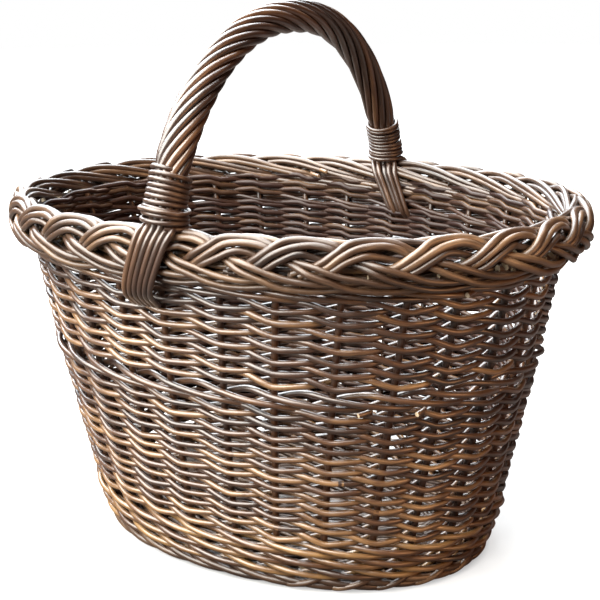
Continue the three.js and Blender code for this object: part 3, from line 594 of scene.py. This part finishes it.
# Half the length and half the width of the bands that the pairs of rods fill, inside and outside.
INNER_RING, OUTER_RING = np.array([124.0, 14.5]), np.array(half_sizes(BASE_MIDDLE)) - 7
PAIRS = 14
PAIR_STEPS = 10
PAIR_RADIUS, PAIR_SHIFT, PAIR_RISE = 1.75, 1.7, 4.6
for ring_number in range(PAIRS):
    share = (ring_number + 0.5) / PAIRS
    length, width = INNER_RING + (OUTER_RING - INNER_RING) * share
    # Where this ring crosses the sticks, in order round it.
    crossing = [0.0] + [math.acos(min(x / length, 1) ** (POWER / 2)) for x in reversed(SHORT_X[3:])]
    crossing += [math.pi - a for a in crossing[:0:-1]] + [math.pi]
    crossing += [2 * math.pi - a for a in crossing[-2:0:-1]] + [2 * math.pi]
    spokes = len(crossing) - 1
    s = np.arange(spokes * PAIR_STEPS) / PAIR_STEPS
    theta = np.interp(s, np.arange(spokes + 1), crossing)
    for parity in (0, 1):
        turn = np.pi * (s - parity)
        xy = oval(theta, length, width)
        normal = oval_normal(xy, length, width)
        shift = PAIR_SHIFT * np.sin(turn)
        height = BASE_MIDDLE + PAIR_RISE * np.cos(turn)
        path = np.concatenate([xy + normal * shift[:, None], height[:, None]], -1)
        floor_weave.rod(path, PAIR_RADIUS * (1 + chance.normal(0, 0.06)), (0, 0, 1), 8, closed=True)
floor_weave.make()


# Plait border: rods laid over a rounded face that runs round the rim on a ring of its own.
RING = np.array([230.2, 180.4])
BORDER_MIDDLE = 271.2
FACE_OUT, FACE_UP = 8.0, 17.3
RING_TRACE = trace(oval(TURN, *RING))


def border_point(place, tilt, lift):
    """A point on the border's rounded face: tilt is 0 facing out and 90 on top, in degrees."""
    xy = oval(angle_at(place, RING_TRACE), *RING)
    normal = oval_normal(xy, *RING)
    a = np.radians(tilt)
    out = FACE_OUT * np.cos(a) + lift * np.cos(a)
    up = FACE_UP * np.sin(a) + lift * np.sin(a)
    return np.concatenate([xy + normal * out[:, None], (BORDER_MIDDLE + up)[:, None]], -1)


# Each rod's way through the plait from where it starts to rise: place, tilt and lift over the face.
RISE_FALL = [
    [
        (-0.36, -20, -4.5), (-0.15, -4, -4.2), (0.06, 16, 0.5), (0.27, 40, 1.6), (0.52, 72, 1.2),
        (0.86, 88, 0.6), (1.12, 80, -1.0), (1.3, 60, -3.8), (1.46, 38, -4.8), (1.62, 16, -2.2),
        (1.85, 4, 1.4), (2.15, -11, 1.8), (2.45, -26, 1.4), (2.8, -37, 0.2), (3.1, -44, -2.6),
        (3.4, -52, -4.6), (3.6, -58, -6.0),
    ],
    [
        (-0.28, -27, -4.5), (-0.06, -10, -4.0), (0.12, 5, 0.4), (0.34, 27, 1.6), (0.6, 50, 1.4),
        (0.9, 60, 0.4), (1.12, 52, -1.6), (1.27, 36, -4.2), (1.4, 20, -4.6), (1.53, 6, -2.0),
        (1.74, -10, 1.5), (2.05, -28, 1.8), (2.35, -48, 1.4), (2.7, -66, 0.4), (3.05, -76, -1.0),
        (3.4, -80, -3.2), (3.65, -82, -5.0),
    ],
]
RISE_ONLY = [
    (-0.2, -36, -4.5), (0.02, -18, -3.8), (0.2, -4, 0.4), (0.42, 15, 1.4), (0.66, 31, 0.4),
    (0.85, 34, -2.4), (1.05, 26, -5.0), (1.25, 14, -6.0),
]
# On the inner face rods rise from under the border to its top, in pairs over a lower layer.
INSIDE = [
    [
        (0.0, 176, -4.0), (0.3, 166, -0.5), (0.8, 150, 1.2), (1.4, 126, 1.5), (2.0, 102, 0.8),
        (2.4, 90, -2.5), (2.7, 82, -4.5),
    ],
    [
        (-0.25, 190, -4.0), (0.1, 182, -0.5), (0.6, 168, 1.0), (1.2, 148, 1.2), (1.7, 130, 0.0),
        (2.1, 118, -3.0),
    ],
    [
        (-0.45, 238, -9.5), (0.0, 224, -5.0), (0.4, 212, -1.5), (1.0, 204, 0.2), (1.7, 196, 0.4),
        (2.3, 186, -1.0), (2.7, 178, -3.5),
    ],
    [
        (0.0, 254, -10.0), (0.4, 242, -6.0), (0.8, 232, -3.0), (1.4, 226, -1.6), (2.1, 220, -1.6),
        (2.7, 212, -3.0), (3.1, 206, -5.0),
    ],
]
# Where each unit of the plait starts. The first three are placed as the photograph shows them.
UNIT_SHIFT = 21.5 + chance.normal(0, 0.03, STAKES)
UNIT_SHIFT[:3] = 21.52, 21.45, 21.38
# The spread of each row's place, tilt and lift.
BORDER_WOBBLE = (0.015, 1.2, 0.25)


def border_rod(piece, rows, origin, radii, tone):
    wobble = chance.normal(0, 1, (len(rows), 3)) * BORDER_WOBBLE
    path = spline(np.array(rows) + wobble, 5)
    points = border_point(path[:, 0] + origin, path[:, 1], path[:, 2])
    n = len(points)
    radius = np.interp(np.arange(n), np.linspace(0, n, len(radii)), radii)
    piece.rod(points, radius * (1 + wavering(n, 0.02, 9, False)), outward_at(points), 12, tone=tone)


BORDER_NODES = ["plait_strand_1", "plait_strand_2", "plait_strand_3"]
SHORT_RADII = [2.5, 2.4, 2.2]
for k in range(STAKES):
    piece = Rods(f"border_stroke_{k + 1:02d}", BORDER_NODES, "border", BARK["border"])
    origin = k + UNIT_SHIFT[k]
    shade = chance.random() * 0.4
    for rows, size in zip(RISE_FALL, (2.65, 2.6)):
        size *= 1 + chance.normal(0, 0.05)
        border_rod(piece, rows, origin, [size, size, size * 0.92, size * 0.82], shade + chance.random() * 0.6)
    border_rod(piece, RISE_ONLY, origin, SHORT_RADII, shade + chance.random() * 0.6)
    for rows in INSIDE:
        border_rod(piece, rows, origin, SHORT_RADII, shade + chance.random() * 0.5)
    piece.make()


# Handle: a bow with rods twisted round it.
ARCH_FOOT, APEX, HALF_SPAN = 292.4, 427.5, 180.5
# Powers of the cosine and the sine that shape the arch.
SPAN_POWER, RISE_POWER = 0.88, 1.28
SHARES = np.linspace(0, 1, 1601)
c = np.cos(np.pi * SHARES)
ARCH_Y = -HALF_SPAN * np.sign(c) * np.abs(c) ** SPAN_POWER
ARCH_Z = ARCH_FOOT + (APEX - ARCH_FOOT) * np.abs(np.sin(np.pi * SHARES)) ** RISE_POWER
ARCH = np.stack([np.zeros(len(SHARES)), ARCH_Y, ARCH_Z], -1)
ARCH_TRACE = trace(ARCH)
ARCH_LENGTH = ARCH_TRACE[-1]


def arch(length):
    """The arch's middle line, its direction and its outward direction at lengths from the -Y foot."""
    length = np.asarray(length, float)
    before, centre, after = (
        np.stack([np.interp(length + step, ARCH_TRACE, ARCH[:, i]) for i in range(3)], -1)
        for step in (-3, 0, 3)
    )
    along = unit(after - before)
    return centre, along, np.stack([np.zeros(len(length)), -along[:, 2], along[:, 1]], -1)


def round_arch(angle, outward):
    """Directions at angles round the arch, from its outward direction."""
    return np.cos(angle)[:, None] * outward + np.sin(angle)[:, None] * np.array([1.0, 0, 0])


# The rods' ways from the rope over the border into the wall, outside it and inside: half the span, and
# height. The border's two faces are taken with room for its own rods and for the rope's.
BORDER_FACE = RING[1] + FACE_OUT + 2.0 + 2.6
BORDER_INSIDE = RING[1] - FACE_OUT - 1.2 - 2.5
OUTSIDE = [
    (BORDER_FACE - 2.5, 290.5), (BORDER_FACE + 1.2, 283), (BORDER_FACE + 2.4, 268), (BORDER_FACE + 1.4, 253),
    (BORDER_FACE - 2.5, 244), (182.5, 237.5), (174, 232),
]
INWARD = [
    (BORDER_INSIDE + 3.5, 288), (BORDER_INSIDE - 1.6, 281), (BORDER_INSIDE - 2.6, 268),
    (BORDER_INSIDE - 3.5, 254), (BORDER_INSIDE - 3.2, 246), (BORDER_INSIDE - 0.5, 241),
    (BORDER_INSIDE + 4, 237.5),
]
# How far apart neighbouring rods lie there, and each point's share of it.
FAN_PITCH = 5.2
FAN = [1.02, 0.98, 0.92, 0.86, 0.82, 0.79, 0.76]
ROPE_RODS, CAD_RODS = 11, 8
SLOT = 2 * math.pi / ROPE_RODS
# The whole twist from foot to foot, and how much of its pace it loses on the way.
TWIST_SLOTS, SLOWING = 25, 0.75
ROD_RADIUS = 2.85
ROD_TAPER = ([0, 0.06, 0.14, 0.86, 0.94, 1], [0.69, 0.8, 0.95, 0.95, 0.8, 0.69])
# The rods' distance from the arch under the bindings, how much farther they lie between them, and the
# length over which that changes.
BOUND_HUG, FREE_HUG, FREEING = 10.1 - 0.9, 1.1, 12
BOW_RADIUS = 6.2
BINDING_PITCH = 3.65
BINDING_TURNS = 10
BINDING_LENGTH = BINDING_PITCH * BINDING_TURNS
BINDING_LIFT = 0.5


def foot_rows(turn, sign):
    """A rope rod's way into the wall, at the near foot if sign is -1 and at the far foot if it is 1."""
    outside = math.cos(turn) > 0
    order = math.asin(math.sin(turn)) / SLOT
    route, lean, bulge = (OUTSIDE, 15.6, 1.2) if outside else (INWARD, 18, 0.6)
    deep = bulge * math.cos(order * math.pi)
    rows = []
    for (y, z), spread in zip(route, FAN):
        leaned = sign * lean * ((ARCH_FOOT - z) / (ARCH_FOOT - RIM))
        rows.append((order * FAN_PITCH * spread + leaned, sign * (y + deep), z))
    return rows


for rod in range(ROPE_RODS):
    # The solids have fewer rods; the rest are shown for the bow.
    node = f"handle_rod_{rod + 1}" if rod < CAD_RODS else "handle_bow"
    piece = Rods(f"rope_rod_{rod + 1:02d}", [node], "handle", BARK["handle"])
    first = SLOT * (rod + 0.5)
    length = np.linspace(2, ARCH_LENGTH - 2, 90)
    u = length / ARCH_LENGTH
    turned = (u - SLOWING * u * u / 2) / (1 - SLOWING / 2) * SLOT * TWIST_SLOTS
    centre, along, outward = arch(length)
    from_end = np.minimum(length, ARCH_LENGTH - length) - BINDING_LIFT - BINDING_LENGTH
    reach = BOUND_HUG + FREE_HUG * eased(np.clip(from_end / FREEING, 0, 1))
    points = centre + reach[:, None] * round_arch(first + turned, outward)
    near = foot_rows(first, -1)[::-1]
    far = foot_rows(first + SLOT * TWIST_SLOTS, 1)
    path = spline(np.vstack([near, points, far]), 3)
    n = len(path)
    radius = ROD_RADIUS * np.interp(np.linspace(0, 1, n), *ROD_TAPER)
    radius = radius * (1 + wavering(n, 0.03, 14, False))
    piece.rod(path, radius, (1, 0, 0), 12)
    piece.make()

bow = Rods("bow_core", ["handle_bow"], "handle", BARK["handle"])
centre, along, outward = arch(np.linspace(0, ARCH_LENGTH, 60))
bow.rod(centre, BOW_RADIUS, (1, 0, 0), 12, tone=0.2)
bow.make()


# Bindings: a thin rod wound round each foot of the rope, and low down over the splaying rods.
# On the near foot the turns are tilted and a second length crosses them.
TURN_STEPS = 28
WINDING_RADIUS, CROSSING_RADIUS = 1.75, 1.5
# How far its middle lies from the rope, and how deep its ends are tucked in.
WINDING_SEAT, WINDING_TUCK = 1.6, 3.2


def wound(start, climb, turns, first, swell, over, tilt):
    """A rod wound round the rope: its points and their outward directions.

    It starts and climbs from the near foot, or from the far one if swell is negative. Swell is how much
    wider it is low down, over is how far it lies over a first winding, and tilt is the slope of its turns.
    """
    steps = int(turns * TURN_STEPS)
    share = np.linspace(0, 1, steps + 1)
    from_foot = start + climb * share
    length = from_foot if swell > 0 else ARCH_LENGTH - from_foot
    centre, along, outward = arch(length)
    angle = first + 2 * np.pi * np.arange(steps + 1) / TURN_STEPS
    low = np.clip(1 - (from_foot - BINDING_LIFT) / (0.55 * BINDING_LENGTH), 0, 1)
    tuck = (WINDING_TUCK + over) * np.clip(1 - np.minimum(share, 1 - share) * steps / 5, 0, 1)
    reach = BOUND_HUG + ROD_RADIUS + WINDING_SEAT + over + abs(swell) * eased(low) - tuck
    reach = reach + wavering(steps + 1, 0.22, 30, False)
    around = round_arch(angle, outward)
    dip = wavering(steps + 1, 0.4, 26, False) - tilt * reach * np.sin(angle)
    return centre + reach[:, None] * around + along * dip[:, None], around


def binding(name, node, swell, tilt, crossed):
    piece = Rods(name, [node], "binding", BARK["binding"])
    points, around = wound(BINDING_LIFT, BINDING_LENGTH, BINDING_TURNS, 0.6, swell, 0.0, tilt)
    piece.rod(points, WINDING_RADIUS, around, 10, tone=0.5)
    if crossed:
        points, around = wound(BINDING_LIFT + 2, BINDING_LENGTH * 0.5, 1.5, 2.4, swell, 2.4, 1.6 * tilt)
        piece.rod(points, CROSSING_RADIUS, around, 10, tone=0.8)
    piece.make()


binding("front_binding", "handle_binding_front", 2.4, 0.14, True)
binding("back_binding", "handle_binding_back", -1.2, 0.0, False)


# Floor, light and camera. Lengths are in metres from here on.
FLOOR_SIDES, FLOOR_REACH, FLOOR_DROP = 64, 8.0, 0.0002
FOOT_OVAL = (0.165, 0.1185)
DIM_FLOOR, PALE_FLOOR = (0.06, 0.05, 0.045, 1), (0.25, 0.25, 0.25, 1)
DIM_ROOM, WHITE = (0.012, 0.012, 0.013, 1), (1, 1, 1, 1)
LAMPS_AIM = (0, 0, 0.2)


def stage_floor():
    mesh = bpy.data.meshes.new("floor")
    turns = [2 * math.pi * i / FLOOR_SIDES for i in range(FLOOR_SIDES)]
    ring = [(FLOOR_REACH * math.cos(turn), FLOOR_REACH * math.sin(turn), -FLOOR_DROP) for turn in turns]
    mesh.from_pydata(ring, [], [list(range(FLOOR_SIDES))])
    floor = bpy.data.objects.new("floor", mesh)
    bpy.context.scene.collection.objects.link(floor)
    material = bpy.data.materials.new("pale_floor")
    material.use_nodes = True
    tree = material.node_tree
    new, link = tree.nodes.new, tree.links.new
    shader = tree.nodes["Principled BSDF"]
    shader.inputs["Roughness"].default_value = 0.9
    shader.inputs["Specular IOR Level"].default_value = 0.1
    place = new("ShaderNodeTexCoord").outputs["Object"]
    seen = new("ShaderNodeLightPath").outputs["Is Camera Ray"]

    def from_middle(scale):
        stretched, length = new("ShaderNodeVectorMath"), new("ShaderNodeVectorMath")
        stretched.operation, length.operation = "MULTIPLY", "LENGTH"
        stretched.inputs[1].default_value = scale
        link(place, stretched.inputs[0])
        link(stretched.outputs["Vector"], length.inputs[0])
        return length.outputs["Value"]

    # The floor brightens away from the basket until it is as white as the backdrop, but not under the foot.
    glow = new("ShaderNodeEmission")
    brightness = mapped(tree, from_middle((1, 1, 1)), (0.2, 1.6), (0.7, 1.0), "SMOOTHSTEP")
    outside = mapped(tree, from_middle((1 / FOOT_OVAL[0], 1 / FOOT_OVAL[1], 0)), (0.94, 1.06), (0, 1))
    strength = maths(tree, "MULTIPLY", maths(tree, "MULTIPLY", seen, brightness), outside)
    link(strength, glow.inputs["Strength"])
    # It throws little light back at the basket.
    link(blended(tree, seen, DIM_FLOOR, PALE_FLOOR), shader.inputs["Base Color"])
    both = new("ShaderNodeAddShader")
    link(shader.outputs["BSDF"], both.inputs[0])
    link(glow.outputs["Emission"], both.inputs[1])
    link(both.outputs["Shader"], tree.nodes["Material Output"].inputs["Surface"])
    mesh.materials.append(material)


def posed(thing, right, up, back, place):
    """Put a lamp or a camera in its place, with its X, Y and Z to right, up and back."""
    bpy.context.scene.collection.objects.link(thing)
    matrix = np.eye(4)
    matrix[:3] = np.column_stack([right, up, back, place])
    thing.matrix_world = Matrix(matrix.tolist())


def lamp(name, place, size, power, colour):
    data = bpy.data.lights.new(name, "AREA")
    data.shape = "RECTANGLE"
    data.size, data.size_y = size
    data.energy = power
    data.color = colour
    aim = unit(np.array(LAMPS_AIM) - place)
    right = unit(np.cross(aim, [0, 0, 1.0]))
    posed(bpy.data.objects.new(name, data), right, np.cross(right, aim), -aim, place)


# The photograph's view, fitted to points on the basket. The camera looks at a place on the basket's middle
# upright plane, so far across and up.
AZIMUTH, ELEVATION, ROLL = 28.93, 15.06, -0.42
SIGHT_ACROSS, SIGHT_HEIGHT, SIGHT_LENGTH = 5.29, 196.12, 991.26
FOCAL_PIXELS, PICTURE_PIXELS, SENSOR = 1183.22, 600, 36


def view_of_photo():
    """Set the camera, and return the directions to its right and back from what it looks at."""
    azimuth, elevation, roll = (math.radians(angle) for angle in (AZIMUTH, ELEVATION, ROLL))
    c, s = math.cos(azimuth), math.sin(azimuth)
    back = np.array([s * math.cos(elevation), -c * math.cos(elevation), math.sin(elevation)])
    right = np.array([c, s, 0])
    up = np.cross(back, right)
    right, up = right * math.cos(roll) + up * math.sin(roll), up * math.cos(roll) - right * math.sin(roll)
    sight = np.array([SIGHT_ACROSS * c, SIGHT_ACROSS * s, SIGHT_HEIGHT])
    data = bpy.data.cameras.new("camera")
    data.sensor_width = SENSOR
    data.lens = FOCAL_PIXELS * SENSOR / PICTURE_PIXELS
    camera = bpy.data.objects.new("camera", data)
    posed(camera, right, up, back, (sight + back * SIGHT_LENGTH) * MM)
    bpy.context.scene.camera = camera
    return right, back


stage_floor()
right, back = view_of_photo()
toward = unit(np.array([back[0], back[1], 0]))


def studio(across, near, height):
    """A place to the right of the basket as the camera sees it, toward the camera, and up."""
    return right * across + toward * near + np.array([0, 0, height])


lamp("key", studio(-1.32, 0.86, 2.0), (3.0, 4.0), 450, (1.0, 0.97, 0.9))
lamp("top", studio(-0.55, -1.25, 1.82), (2.8, 2.6), 240, (0.88, 0.95, 1.0))
lamp("fill", studio(1.6, 1.2, 0.6), (0.9, 0.9), 13, (1.0, 0.48, 0.22))

world = bpy.data.worlds.new("studio")
bpy.context.scene.world = world
world.use_nodes = True
tree = world.node_tree
seen = tree.nodes.new("ShaderNodeLightPath").outputs["Is Camera Ray"]
tree.links.new(blended(tree, seen, DIM_ROOM, WHITE), tree.nodes["Background"].inputs["Color"])

bpy.context.scene.view_settings.view_transform = "Standard"
